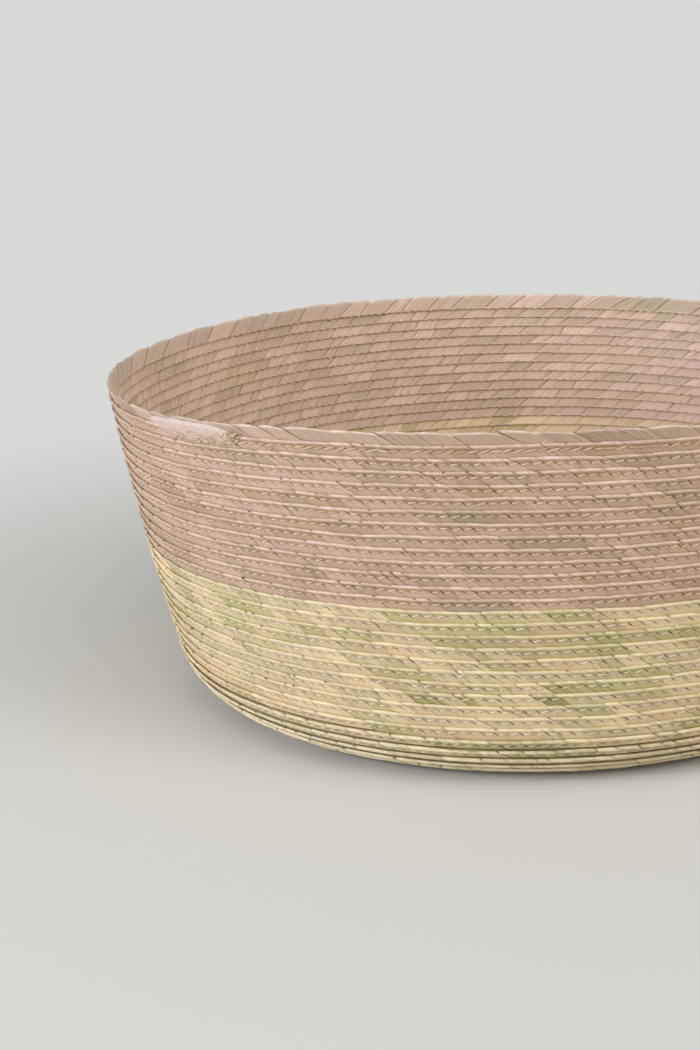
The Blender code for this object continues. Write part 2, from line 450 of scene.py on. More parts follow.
def shapeObject(name, rings):
    # A unit body lofted through alike rings, with flat ends, that a tree copies
    count = len(rings[0])
    points = [point for ring in rings for point in ring]
    faces = []
    for row in range(len(rings) - 1):
        for column in range(count):
            after = (column + 1) % count
            base = row * count
            faces.append((base + column, base + after, base + count + after, base + count + column))
    faces.append(tuple(reversed(range(count))))
    faces.append(tuple(range(len(points) - count, len(points))))
    mesh = bpy.data.meshes.new(name)
    mesh.from_pydata(points, [], faces)
    mesh.shade_smooth()
    shape = bpy.data.objects.new(name, mesh)
    bpy.context.collection.objects.link(shape)
    return shape


def loosePoints(name, values):
    # Vertices at the origin that carry where each copy goes and how it differs
    count = len(values["turn"])
    mesh = bpy.data.meshes.new(name)
    mesh.vertices.add(count)
    for title, numbers in values.items():
        layer = mesh.attributes.new(title, "FLOAT", "POINT")
        layer.data.foreach_set("value", np.asarray(numbers, np.float32))
    piece = bpy.data.objects.new(name, mesh)
    bpy.context.collection.objects.link(piece)
    return piece


scratchValues = (
    "turn pace slantLeft slantRight rise droop swell lift gape slit runStart grainShift stretch stray lean loose shade stripPlace"
).split()


def grow(piece, tree, inputs):
    # Runs a tree on a piece and keeps its result as a plain mesh
    modifier = piece.modifiers.new(tree.name, "NODES")
    modifier.node_group = tree
    for item in tree.interface.items_tree:
        if item.item_type == "SOCKET" and item.in_out == "INPUT" and item.name in inputs:
            modifier[item.identifier] = inputs[item.name]
    depsgraph = bpy.context.evaluated_depsgraph_get()
    seen = piece.evaluated_get(depsgraph)
    mesh = bpy.data.meshes.new_from_object(seen, preserve_all_data_layers=True, depsgraph=depsgraph)
    mesh.name = piece.name
    piece.modifiers.clear()
    piece.data = mesh
    for title in scratchValues:
        if title in mesh.attributes:
            mesh.attributes.remove(mesh.attributes[title])
    return piece


# Finishes
def linear(red, green, blue):
    # A colour as seen on a screen, 0 to 255, as the shader wants it
    shares = [value / 255 for value in (red, green, blue)]
    return (*[s / 12.92 if s <= 0.04045 else ((s + 0.055) / 1.055) ** 2.4 for s in shares], 1.0)


def noiseValue(tree, vector, scale, detail=2.0, dimensions="3D"):
    inputs = {"Vector": vector, "Scale": scale, "Detail": detail}
    return output(addNode(tree, "ShaderNodeTexNoise", inputs, noise_dimensions=dimensions))


def grainGroup():
    # Fine lines along a palm leaf: their shade and their height
    takes = {"Place": ("NodeSocketVector", None), "Fine Lines": 2600.0, "Broad Lines": 520.0, "Drawn Out": 0.03}
    gives = {"Streak": "NodeSocketFloat", "Height": "NodeSocketFloat"}
    tree, given, target = newTree("leafGrain", "ShaderNodeTree", takes, gives)
    across, down, off = splitXyz(given["Place"])
    streaks = []
    for lines in ("Fine Lines", "Broad Lines"):
        drawn = down * given[lines] * given["Drawn Out"]
        place = joinXyz(tree, across * given[lines], drawn, off * given[lines] * given["Drawn Out"])
        streaks.append(noiseValue(tree, place, 1.0))
    streak = streaks[0] * 0.3 + streaks[1] * 0.7
    plug(tree, streak, target.inputs["Streak"])
    plug(tree, streaks[0] * 0.6 + streaks[1] * 0.4, target.inputs["Height"])
    return tree


def edgeGroup():
    # Masks at a leaf's two long edges: the tucked one a dark seam line with painted shade, the free one a painted
    # highlight along a pale lip
    takes = {
        "Share": 0.5,
        "Length": 0.012,
        "Place": ("NodeSocketVector", None),
        "Seam Width": 0.0008,
        "Soft Width": 0.0024,  # a faint painted shade runs beside it
        "Seam Reach": 0.026,  # it fades by this far below the plait's upper edge
        "Lip Width": 0.0003,
        "Fold At": 0.0015,  # a second painted highlight, along a folded line beside the lip
        "Speck": 0.0011,  # half the length of the painted shadow in the gap where two leaves meet at the ridge
        "Speck Depth": 0.00070,
    }
    gives = {title: "NodeSocketFloat" for title in ("Seam", "Lip", "Speck")}
    tree, given, target = newTree("leafEdges", "ShaderNodeTree", takes, gives)
    fromTuck = given["Share"] * given["Length"]
    fromLip = (1.0 - given["Share"]) * given["Length"]
    down = splitXyz(given["Place"])[1]
    seam = 1.0 - smoothRise(fromTuck, 0.0, given["Seam Width"])
    seam = greater(seam, 0.24 - 0.24 * smoothRise(fromTuck, 0.0, given["Soft Width"]))
    seam = seam * (1.0 - down / given["Seam Reach"])
    lip = 1.0 - smoothRise(fromLip, 0.0, given["Lip Width"])
    folded = 1.0 - smoothRise(absolute(fromLip - given["Fold At"]), 0.0, given["Lip Width"])
    plug(tree, greater(seam, 0.0), target.inputs["Seam"])
    plug(tree, greater(lip, folded * 0.6), target.inputs["Lip"])
    speck = 1.0 - smoothRise(lesser(fromTuck, fromLip), given["Speck"] * 0.3, given["Speck"])
    speck = speck * (1.0 - smoothRise(down, given["Speck Depth"] * 0.4, given["Speck Depth"]))
    plug(tree, speck, target.inputs["Speck"])
    return tree


def bandGroup():
    # Masks across the plait: its two folded edges (painted highlight), the band along the seam and the dark lines
    # under (painted shade)
    takes = {
        "Run": 0.0,
        "Place": ("NodeSocketVector", None),
        "Width": width,
        "Edge": 0.0008,
        "Pitch": pitch,
        "Band At": 0.0019,
        "Band Width": 0.0014,
        "Shadow": 0.0006,
    }
    gives = {title: "NodeSocketFloat" for title in ("Fold", "Band", "Crease", "Outside")}
    tree, given, target = newTree("acrossPlait", "ShaderNodeTree", takes, gives)
    down, off = splitXyz(given["Place"])[1:]
    outside = smoothRise(off, -0.0002, 0.0001)
    fromEdge = lesser(down, given["Width"] - down)
    fold = 1.0 - smoothRise(fromEdge, given["Edge"] * 0.6, given["Edge"] * 1.7)
    fold = fold * smoothRise(noiseValue(tree, joinXyz(tree, given["Run"], 0.0, 0.0), 0.9, 3.0), 0.22, 0.68)
    band = 1.0 - smoothRise(absolute(down - given["Band At"]), 0.0002, given["Band Width"])
    outerLine = 1.0 - smoothRise(absolute(down - given["Pitch"] + 0.0002), 0.0, given["Shadow"])
    innerLine = 1.0 - smoothRise(absolute(down - given["Width"] + given["Pitch"] - 0.0002), 0.0, given["Shadow"])
    crease = outside * outerLine + 0.3 * (1.0 - outside) * innerLine
    plug(tree, fold, target.inputs["Fold"])
    plug(tree, band * outside, target.inputs["Band"])
    plug(tree, crease, target.inputs["Crease"])
    plug(tree, outside, target.inputs["Outside"])
    return tree


def holeGroup():
    # Painted shade in a small needle hole between one stitch and the next
    takes = {
        "Run": 0.0,
        "Place": ("NodeSocketVector", None),
        "Drop": threadDrop,
        "Inner Drop": width - basket["threadMargin"],
        "Rise": 0.0002,
        "Hole At": 0.47,  # share of the way from one stitch's middle to the next one's
        "Stitch Pitch": 0.0054,
        "Size": 0.00046,
        "Drawn Out": 0.26,  # a hole is pulled into a short slanting slit
        "Slant": 1.0,
    }
    tree, given, target = newTree("needleHoles", "ShaderNodeTree", takes, {"Hole": "NodeSocketFloat"})
    down, off = splitXyz(given["Place"])[1:]
    outside = smoothRise(off, -0.0002, 0.0001)
    phase = nodeMath(tree, "FRACT", given["Run"]) - given["Hole At"]
    drop = given["Inner Drop"] + outside * (given["Drop"] - given["Rise"] - given["Inner Drop"])
    acrossHole = (down - drop) * given["Drawn Out"]
    alongHole = phase * given["Stitch Pitch"] - given["Slant"] * (down - drop)
    far = nodeMath(tree, "SQRT", alongHole * alongHole + acrossHole * acrossHole)
    hole = 1.0 - smoothRise(far, given["Size"] * 0.5, given["Size"])
    strength = noiseValue(tree, joinXyz(tree, given["Run"], 0.0, 0.0), 0.83, 0.0)
    strength = 0.45 + 0.55 * smoothRise(strength, 0.40, 0.66)
    plug(tree, hole * strength * (0.4 + 0.6 * outside), target.inputs["Hole"])
    return tree


def patchGroup():
    # Broad uneven patches over the whole basket, from sun, dye and handling
    takes = {"Scale": 9.0, "Detail": 3.0, "Stretch": 2.2}
    tree, given, target = newTree("broadPatches", "ShaderNodeTree", takes, {"Patch": "NodeSocketFloat"})
    x, y, z = splitXyz(output(addNode(tree, "ShaderNodeTexCoord"), "Object"))
    place = joinXyz(tree, x, y, z * given["Stretch"])
    plug(tree, noiseValue(tree, place, given["Scale"], given["Detail"]), target.inputs["Patch"])
    return tree


def twistGroup():
    # The lay of a twisted thread
    takes = {"Place": ("NodeSocketVector", None), "Lay": 0.0011, "Strands": 2.0}
    tree, given, target = newTree("threadTwist", "ShaderNodeTree", takes, {"Height": "NodeSocketFloat"})
    along, around = splitXyz(given["Place"])[:2]
    turned = given["Strands"] * (along / given["Lay"] + around) * tau
    plug(tree, 0.5 + 0.5 * cosine(turned), target.inputs["Height"])
    return tree


leafGrain = grainGroup()
leafEdges = edgeGroup()
acrossPlait = bandGroup()
needleHoles = holeGroup()
broadPatches = patchGroup()
threadTwist = twistGroup()


def attribute(tree, title, asVector=False):
    node = addNode(tree, "ShaderNodeAttribute", attribute_name=title)
    return output(node, "Vector" if asVector else "Fac")


def mixed(tree, factor, first, second, blend="MIX"):
    inputs = {"Factor": factor, "A": first, "B": second}
    node = addNode(tree, "ShaderNodeMix", data_type="RGBA", blend_type=blend)
    for title, value in inputs.items():
        plug(tree, value, next(s for s in node.inputs if s.name == title and s.enabled))
    return output(node, "Result")


def palette(tree, value, stops):
    # A smooth run of colours, evenly spaced
    node = addNode(tree, "ShaderNodeValToRGB", {"Fac": value})
    ramp = node.color_ramp
    while len(ramp.elements) < len(stops):
        ramp.elements.new(0.5)
    for number, colour in enumerate(stops):
        ramp.elements[number].position = number / (len(stops) - 1)
        ramp.elements[number].color = linear(*colour)
    return output(node, "Color")


def newMaterial(name, roughness):
    material = bpy.data.materials.new(name)
    material.use_nodes = True
    shader = material.node_tree.nodes["Principled BSDF"]
    shader.inputs["Roughness"].default_value = roughness
    return material, material.node_tree, shader


shadeTints = {  # what a full painted shade leaves of the light, as red, green and blue
    "band": (0.80, 0.50, 0.18),
    "crease": (0.50, 0.40, 0.30),
    "seam": (0.26, 0.18, 0.12),
    "hole": (0.12, 0.07, 0.04),
}


def leafFinish(name, look):
    material, tree, shader = newMaterial(name, 0.6)
    place = attribute(tree, "leafPlace", True)
    tone = attribute(tree, "leafTone")
    grain = useGroup(tree, leafGrain, {"Place": place})
    shares = {"Share": attribute(tree, "leafShare"), "Length": attribute(tree, "leafLength"), "Place": place}
    edges = useGroup(tree, leafEdges, shares)
    run = attribute(tree, "leafRun")
    bands = {"Run": run, "Place": place, "Band At": look["bandAt"], "Shadow": look["creaseWidth"]}
    bands = useGroup(tree, acrossPlait, bands)
    holes = useGroup(tree, needleHoles, {"Run": run, "Place": place})
    patch = output(useGroup(tree, broadPatches, {}))
    tint = 0.5 + look["tintSpread"] * (attribute(tree, "leafTint") - 0.5) + look["patch"] * (patch - 0.5)
    tint = tint + look["streakTint"] * (output(grain, "Streak") - 0.5)
    colour = palette(tree, tint, look["colours"])
    light = 1.0 + look["toneSpread"] * (tone - 0.5) + look["streaks"] * (output(grain, "Streak") - 0.5)
    # painted highlight along each leaf's free edge
    light = light * (1.0 + look["lip"] * output(edges, "Lip"))
    # painted light: the inner face is painted brighter and bluer
    inside = 1.0 - output(bands, "Outside")
    lights = [light * (1.0 + paintedLight * inside) for paintedLight in look["insidePaintedLight"]]
    colour = mixed(tree, 1.0, colour, joinXyz(tree, *lights), "MULTIPLY")
    # the folded edges are painted paler: partly wear, partly painted highlight where light catches them
    wearAndHighlight = look["foldWearAndHighlight"] * attribute(tree, "leafWear") * (0.6 + 0.8 * tone) * output(bands, "Fold")
    colour = mixed(tree, wearAndHighlight, colour, linear(*look["wornAndHighlightColour"]))
    # painted shade at the tucked seams, partly the leaves' dark joint; weaker on the inside
    gape = attribute(tree, "leafSeam")
    seam = output(edges, "Seam") * gape * (0.45 + 0.55 * output(bands, "Outside"))
    seam = lesser(1.6 * seam, 1.0)
    # painted shadow in the gaps at the ridge
    speck = output(edges, "Speck") * smoothRise(gape, 0.55, 1.0)
    # painted shade under the ridge, in the creases, at the seams and in the needle holes
    shades = {
        "band": look["bandShade"] * output(bands, "Band"),
        "crease": look["creaseShade"] * output(bands, "Crease"),
        "seam": look["seamShade"] * seam,
        "hole": greater(look["holeShade"] * output(holes, "Hole"), look["speck"] * speck),
    }
    for title, share in shades.items():
        colour = mixed(tree, share, colour, (*look["tints"][title], 1.0), "MULTIPLY")
    plug(tree, colour, shader.inputs["Base Color"])
    rough = look["roughness"] + 0.25 * (output(grain, "Streak") - 0.5) + 0.15 * output(bands, "Crease")
    plug(tree, rough, shader.inputs["Roughness"])
    height = output(grain, "Height") - 2.5 * output(holes, "Hole") - 0.6 * seam
    inputs = {"Height": height, "Strength": look["bump"], "Distance": 0.00012}
    plug(tree, output(addNode(tree, "ShaderNodeBump", inputs)), shader.inputs["Normal"])
    return material


def threadFinish(name, look):
    material, tree, shader = newMaterial(name, 0.8)
    place = attribute(tree, "threadPlace", True)
    twist = output(useGroup(tree, threadTwist, {"Place": place, "Lay": look["lay"]}))
    shade = splitXyz(place)[2]
    colour = palette(tree, shade, look["colours"])
    # painted shade in the grooves between the twisted strands
    light = 0.78 + 0.30 * twist
    colour = mixed(tree, 1.0, colour, joinXyz(tree, light, light, light), "MULTIPLY")
    plug(tree, colour, shader.inputs["Base Color"])
    inputs = {"Height": twist, "Strength": 0.6, "Distance": 0.00015}
    plug(tree, output(addNode(tree, "ShaderNodeBump", inputs)), shader.inputs["Normal"])
    shader.inputs["Sheen Weight"].default_value = 0.15
    return material


naturalLook = {
    "colours": [
        (166, 153, 100), (192, 181, 130), (211, 193, 152), (224, 204, 164), (209, 184, 145), (189, 179, 124),
    ],
    # the folded edges: partly wear, partly painted highlight
    "wornAndHighlightColour": (240, 228, 190),
    "foldWearAndHighlight": 0.72,
    "insidePaintedLight": (0.12, 0.08, 0.20),  # painted light: how much brighter the inner face is painted, in red, green and blue
    "tintSpread": 1.0,
    "patch": 0.8,
    "streakTint": 0.75,
    "toneSpread": 0.24,
    "streaks": 0.95,
    # painted shade under the ridge (band), above each ridge (crease), at the seams and in the holes and gaps, and a
    # painted highlight on the lip
    "bandAt": 0.0019,
    "bandShade": 0.0,
    "tints": shadeTints,
    "creaseShade": 0.10,
    "creaseWidth": 0.0006,
    "seamShade": 0.95,
    "lip": 0.06,
    "holeShade": 1.0,
    "speck": 0.8,
    "roughness": 0.58,
    "bump": 0.9,
}
pinkLook = {
    **naturalLook,
    "colours": [
        (172, 155, 123), (182, 159, 133), (193, 165, 140), (201, 173, 151), (189, 159, 131), (178, 158, 124),
    ],
    # the folds: partly wear, partly painted highlight
    "wornAndHighlightColour": (232, 213, 198),
    "tintSpread": 0.7,
    "speck": 0.95,
    # painted light on the inner face
    "insidePaintedLight": (0.17, 0.22, 0.34),
    "toneSpread": 0.20,
    "bandShade": 0.34,
}
rimLook = {
    **pinkLook,
    "colours": [
        (162, 147, 112), (174, 152, 126), (184, 159, 135), (193, 167, 145), (178, 151, 123), (169, 152, 115),
    ],
    # a stronger painted highlight (partly wear) on the rim's folds and lips
    "foldWearAndHighlight": 0.85,
    "bandShade": 0.0,
    "lip": 0.16,
    "holeShade": 0.0,
    "speck": 0.0,
}
# painted shadow: the crease under each heel roll and the band beneath its ridge are painted dark brown
heelLook = {
    **naturalLook,
    "bandAt": 0.0030,
    "bandShade": 0.40,
    "creaseShade": 0.95,
    "creaseWidth": 0.0010,
    "tints": {**shadeTints, "band": (0.30, 0.22, 0.12), "crease": (0.24, 0.17, 0.09)},
    "holeShade": 0.0,
}
jointLook = {
    **rimLook,
    "colours": [
        (180, 160, 136), (190, 168, 148), (197, 174, 156), (202, 178, 160), (194, 170, 150), (186, 164, 140),
    ],
    "foldWearAndHighlight": 0.0,
    "lip": 0.0,
}
naturalLeaf = leafFinish("naturalPalmLeaf", naturalLook)
heelLeaf = leafFinish("heelPalmLeaf", heelLook)
jointLeaf = leafFinish("pinkJointLeaf", jointLook)
pinkLeaf = leafFinish("pinkPalmLeaf", pinkLook)
rimLeaf = leafFinish("pinkRimLeaf", rimLook)
paleThread = threadFinish("paleThread", {"lay": 0.0011, "colours": [(222, 204, 178), (242, 230, 208)]})
tanThread = threadFinish("tanThread", {"lay": 0.0011, "colours": [(212, 188, 150), (238, 218, 184)]})
ropeThread = threadFinish("heavyTanThread", {"lay": 0.0017, "colours": [(200, 172, 134), (228, 204, 168)]})
cutEnds = threadFinish("cutLeafEnds", {"lay": 0.0040, "colours": [(206, 188, 156), (238, 226, 210)]})
oliveEnds = threadFinish("foldedPlaitEnd", {"lay": 0.0040, "colours": [(182, 160, 118), (222, 202, 164)]})
print("finishes made")


# The plait as a whole: how long it is, where its leaves meet and where each stitch goes
def radiusAt(distance):
    heel = np.clip((distance - floorRadius) / heelRadius, 0, heelSweep)
    wall = np.maximum((distance - floorRadius - heelLength) / wallRadius, 0)
    curved = heelRadius * np.sin(heel) + wallRadius * (np.sin(heelSweep + wall) - np.sin(heelSweep))
    return np.minimum(distance, floorRadius) + curved


turns = np.linspace(centreTurn, endAngle, 6000)
topAt = meridianLength + pitch * (turns - endAngle) / tau
paces = radiusAt(topAt - threadDrop)
runs = np.concatenate([[0], np.cumsum(np.diff(turns) * (paces[1:] + paces[:-1]) / 2)])
print(f"the plait is {runs[-1]:.1f} m long")


def runAt(turn):
    return np.interp(turn, turns, runs)


leaf = {
    "seed": 7,
    "length": 0.0132,  # mean distance between two seams along the plait
    "rimLength": 0.0190,
    "spread": 0.38,
    "least": 0.0055,
    "most": 0.026,
    "slant": 1.25,  # how far a seam runs along the plait for each metre across it
    "slantSpread": 0.30,
    "leastSlant": 0.6,
    "mostSlant": 1.95,
    "rise": 0.00008,
    "lift": 0.00009,
    "gape": 0.00045,  # how far the ridge stands off at the left, and where, in degrees
    "gapeAt": -170.0,
    "gapeSpread": 34.0,
    "slitChance": 0.16,  # share of the seams that gape at the ridge, and how far they do
    "leastSlit": 0.0003,
    "mostSlit": 0.0009,
    "stretch": 0.045,  # metres over which neighbouring leaves keep alike colours
    "strands": 5,  # strands that come to the face in turn
    "strandLife": 26,  # leaves until a strand is replaced by a new one
    "strandShare": 0.42,
    "contrast": 1.3,
}

# the plait's section: distance below the upper edge and offset outwards, in millimetres
wallSection = [
    (0.00, 0.02), (0.24, 0.44), (0.82, 0.72), (1.45, 0.64), (2.05, 0.30), (2.90, 0.12), (4.40, 0.38),
    (8.60, 0.46), (9.60, 0.04), (9.40, -0.52), (8.80, -0.66), (8.00, -0.40), (1.60, -0.52), (0.20, -0.84),
]
heelSection = [  # its ridge is pressed into a round roll, with a deep crease under it
    (0.00, 0.02), (0.20, 0.58), (0.75, 1.02), (1.45, 1.08), (2.10, 0.80), (2.50, 0.25), (3.10, -0.05), (4.40, 0.26),
    (8.60, 0.46), (9.60, 0.04), (9.40, -0.52), (8.80, -0.66), (8.00, -0.40), (1.60, -0.44), (0.20, -0.40),
]
rimSection = [
    (0.00, 0.06), (0.16, 0.38), (0.70, 0.50), (1.60, 0.44), (2.80, 0.40), (4.40, 0.46), (6.40, 0.50),
    (8.60, 0.46), (9.60, 0.04), (9.40, -0.52), (8.80, -0.66), (8.00, -0.40), (4.00, -0.48), (0.25, -0.32),
]
leafStations = [(-0.03, 0.55), (0.05, 0.95), (0.30, 1.0), (0.70, 1.0), (0.95, 0.95), (1.02, 0.55)]  # share, thickness


def leafShape(name, section):
    rings = []
    for share, thick in leafStations:
        rings.append([(share, down / 1000, off * thick / 1000) for down, off in section])
    return shapeObject(name, rings)


def plaitLeaves():
    # Every leaf of the plait from the middle of the floor to the rim, in one list
    rng = np.random.default_rng(leaf["seed"])
    seams = [0.0]
    rimRun = runAt(rimTurn)
    while seams[-1] < runs[-1]:
        mean = leaf["rimLength"] if seams[-1] > rimRun else leaf["length"]
        step = mean * np.exp(leaf["spread"] * rng.standard_normal())
        seams.append(seams[-1] + min(max(step, leaf["least"]), leaf["most"]))
    seams[-1] = runs[-1]
    if seams[-1] - seams[-2] < leaf["least"]:
        del seams[-2]
    seams = np.array(seams)
    seamTurns = np.interp(seams, runs, turns)
    count = len(seams) - 1
    slants = leaf["slant"] + leaf["slantSpread"] * rng.standard_normal(count + 1)
    slants = np.clip(slants, leaf["leastSlant"], leaf["mostSlant"])
    slits = rng.uniform(leaf["leastSlit"], leaf["mostSlit"], count)
    strands = rng.random(leaf["strands"])
    knots = np.arange(0.0, runs[-1] + 2 * leaf["stretch"], leaf["stretch"])
    tints = np.interp(seams[:-1], knots, rng.random(len(knots)))
    for number in range(count):
        if rng.random() < 1 / leaf["strandLife"]:
            strands[number % leaf["strands"]] = rng.random()
        strand = strands[number % leaf["strands"]]
        tints[number] += leaf["strandShare"] * (strand - tints[number]) + 0.09 * rng.standard_normal()
    tints = 0.5 + leaf["contrast"] * (tints - 0.5)
    lengths = np.diff(seams)
    stiff = np.exp(-(((seamTurns[:-1] - radians(leaf["gapeAt"]) + pi) % tau - pi) / radians(leaf["gapeSpread"])) ** 2)
    return {
        "turn": seamTurns[:-1],
        "pace": lengths / np.diff(seamTurns),
        "leafLength": lengths,
        "slantLeft": slants[:-1],
        "slantRight": slants[1:],
        "rise": leaf["rise"] * rng.standard_normal(count),
        "droop": np.zeros(count),
        "swell": rng.uniform(0.88, 1.12, count),
        "lift": leaf["lift"] * rng.uniform(0.3, 1.5, count),
        "slit": np.where(rng.random(count) < leaf["slitChance"], slits, 0.0),
        "runStart": seams[:-1],
        "grainShift": rng.random(count),
        "leafTint": np.clip(tints, 0, 1),
        "leafTone": rng.random(count),
        # where the ridge gapes at the left, the seams get more painted shade and the folds less painted highlight
        "leafSeam": rng.uniform(0.0, 0.95, count) + 0.35 * stiff,
        "gape": leaf["gape"] * stiff,
        "leafWear": 1.0 - 0.6 * stiff,
    }


allLeaves = plaitLeaves()
heelEndTurn = startTurn + tau * 6.6  # the turns from here on up show their stitches
pinkMiddleTurn = colourTurn + tau * 6
underRimTurn = rimTurn - tau
stitchPitch = {"natural": 0.0060, "pink": 0.0054, "rope": 0.0052}
leafZones = {
    "floorLeaves": (centreTurn, startTurn, naturalLeaf, "natural_leaf", "floor_plait"),
    "heelLeaves": (startTurn, heelEndTurn, heelLeaf, "natural_leaf", "natural_wall_plait"),
    "naturalWallLeaves": (heelEndTurn, colourTurn, naturalLeaf, "natural_leaf", "natural_wall_plait"),
    "lowerPinkLeaves": (colourTurn, pinkMiddleTurn, pinkLeaf, "pink_leaf", "pink_wall_plait"),
    "upperPinkLeaves": (pinkMiddleTurn, underRimTurn, pinkLeaf, "pink_leaf", "pink_wall_plait"),
    "underRimLeaves": (underRimTurn, rimTurn, pinkLeaf, "pink_leaf", "pink_wall_plait"),
    "rimLeaves": (rimTurn, endAngle, rimLeaf, "rim_leaf", "rim_plait"),
}


def makeLeaves():
    sections = {"wall": wallSection, "heel": heelSection, "rim": rimSection}
    shapes = {title: leafShape(title + "LeafShape", section) for title, section in sections.items()}
    for name, (first, last, material, slot, node) in leafZones.items():
        chosen = (allLeaves["turn"] >= first - 1e-6) & (allLeaves["turn"] < last - 1e-6)
        values = {title: numbers[chosen].copy() for title, numbers in allLeaves.items()}
        sewn = {"natural_leaf": "natural", "pink_leaf": "pink", "rim_leaf": "pink"}[slot]
        if name == "underRimLeaves":
            sewn = "rope"
        inputs = {"Shape": shapes["wall"], "Material": material, "Stitch Pitch": stitchPitch[sewn]}
        if name == "heelLeaves":
            inputs["Shape"] = shapes["heel"]
        if name == "floorLeaves":
            values["swell"] *= 0.62  # the floor's leaves are pressed flat
            values["leafTint"] = 0.5 + 0.6 * (values["leafTint"] - 0.5)
        if name == "rimLeaves":
            inputs.update({"Shape": shapes["rim"], "Notch": 0.0006, "Ridge Reach": 0.0060, "Wander": 0.0030})
            inputs.update({"Notch From": 0.45, "Pillow": 0.00020})
            values["lift"] *= 2.4
            values["rise"] *= 2.0
            values["slit"] *= 0.0
            rng = np.random.default_rng(leaf["seed"] + 1)
            values["droop"] = 0.0013 * rng.random(len(values["rise"])) ** 2
            nearJoint = np.abs(values["turn"] - jointTurn - tau) < 0.35
            values["leafTint"][nearJoint] = 0.5
        piece = grow(loosePoints(name, values), leavesOfPlait, inputs)
        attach(piece, "root")
        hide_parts(node)
        print(f"{name}: {len(values['turn'])} leaves")
    for shape in shapes.values():
        bpy.data.objects.remove(shape)


makeLeaves()

stitch = {
    "seed": 11,
    "length": 0.0042,
    "radius": 0.00042,
    "bend": 0.00006,
    "lean": 0.24,  # right end higher than the left one
    "leanSpread": 0.07,
    "stray": 0.00010,
    "stand": 0.00036,  # middle of the thread above the plait's middle, outside
    "innerStand": 0.00066,
    "ropeLength": 0.0056,
    "ropeRadius": 0.00050,
    "ropeLean": 0.19,
    "ropeBend": 0.00020,
    "joint": (-12.0, 3.6),  # degrees beside the joint that its own stitches take up
    "fineFrom": -75.0,  # left of the joint the seam is sewn with the fine thread
}


def stitchShape(name, sides):
    # share along, then the unit section: full in the middle, thin and sunk at its ends
    stations = [(-0.56, 0.30, -1.9), (-0.40, 0.85, -0.35), (0.0, 1.0, 0.15), (0.40, 0.85, -0.35), (0.56, 0.30, -1.9)]
    rings = []
    for share, size, sunk in stations:
        angles = [tau * number / sides for number in range(sides)]
        rings.append([(share, size * sin(angle), sunk + size * cos(angle)) for angle in angles])
    return shapeObject(name, rings)


def seamStitches(first, last, spacing, seed, turnsOn=0.0):
    rng = np.random.default_rng(seed)
    places = np.arange(np.ceil(runAt(first) / spacing), np.floor(runAt(last) / spacing)) * spacing
    count = len(places)
    places = places + 0.03 * spacing * rng.standard_normal(count)
    at = np.interp(places, runs, turns)
    return {
        "turn": at + turnsOn,
        "pace": np.interp(at, turns, paces),
        "stretch": rng.uniform(0.88, 1.12, count),
        "stray": stitch["stray"] * rng.standard_normal(count),
        "lean": stitch["lean"] + stitch["leanSpread"] * rng.standard_normal(count),
        "loose": 0.00005 * rng.standard_normal(count),
        "shade": rng.random(count),
        "runStart": places,
    }


jointFrom, jointTo, fineFrom = [jointTurn + radians(a) for a in (*stitch["joint"], stitch["fineFrom"])]
stitchZones = {
    "floorStitches": (centreTurn, startTurn, "natural", paleThread, "pale_thread", "natural_wall_thread"),
    "naturalStitches": (startTurn, colourTurn, "natural", paleThread, "pale_thread", "natural_wall_thread"),
    "pinkStitches": (colourTurn, underRimTurn, "pink", tanThread, "tan_thread", "pink_wall_thread"),
    "lastStitches": (fineFrom, jointFrom, "rope", tanThread, "tan_thread", "rim_thread"),
}


def finishStitches(piece, slot, *nodes):
    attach(piece, "root")
    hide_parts(*nodes)


def makeStitches():
    shape = stitchShape("stitchShape", 5)
    for number, (name, (first, last, sewn, material, slot, node)) in enumerate(stitchZones.items()):
        for side, label in ((1.0, "Outside"), (-1.0, "Inside")):
            inner = side < 0
            seed = stitch["seed"] + 2 * number + inner
            values = seamStitches(first, last, stitchPitch[sewn], seed, tau if inner else 0.0)
            inputs = {
                "Shape": shape,
                "Material": material,
                "Length": stitch["length"],
                "Radius": stitch["radius"],
                "Below": width - basket["threadMargin"] if inner else threadDrop,
                "Stand": stitch["innerStand"] if inner else stitch["stand"],
                "Bend": stitch["bend"],
                "Side": side,
            }
            piece = grow(loosePoints(name + label, values), stitchesOfSeam, inputs)
            finishStitches(piece, slot, node)
            print(f"{name}{label}: {len(values['turn'])} stitches")
    bpy.data.objects.remove(shape)


def makeRopeStitches():
    # The seam under the rim is sewn with heavier thread, whose long stitches overlap like a rope
    shape = stitchShape("ropeStitchShape", 6)
    for side, label in ((1.0, "Outside"), (-1.0, "Inside")):
        inner = side < 0
        seed = stitch["seed"] + 20 + inner
        spans = ((underRimTurn, fineFrom), (jointTo, rimTurn))
        parts = [seamStitches(*span, stitchPitch["rope"], seed, tau if inner else 0.0) for span in spans]
        values = {title: np.concatenate([part[title] for part in parts]) for title in parts[0]}
        values["lean"] = stitch["ropeLean"] + 1.8 * (values["lean"] - stitch["lean"])
        values["loose"] = 2.0 * values["loose"]
        inputs = {
            "Shape": shape,
            "Material": ropeThread,
            "Length": stitch["ropeLength"],
            "Radius": stitch["ropeRadius"],
            "Below": width - basket["threadMargin"] if inner else threadDrop,
            "Stand": stitch["innerStand"] if inner else stitch["stand"] + 0.0001,
            "Bend": stitch["ropeBend"],
            "Side": side,
        }
        piece = grow(loosePoints("rimStitches" + label, values), stitchesOfSeam, inputs)
        finishStitches(piece, "tan_thread", "rim_thread")
    bpy.data.objects.remove(shape)


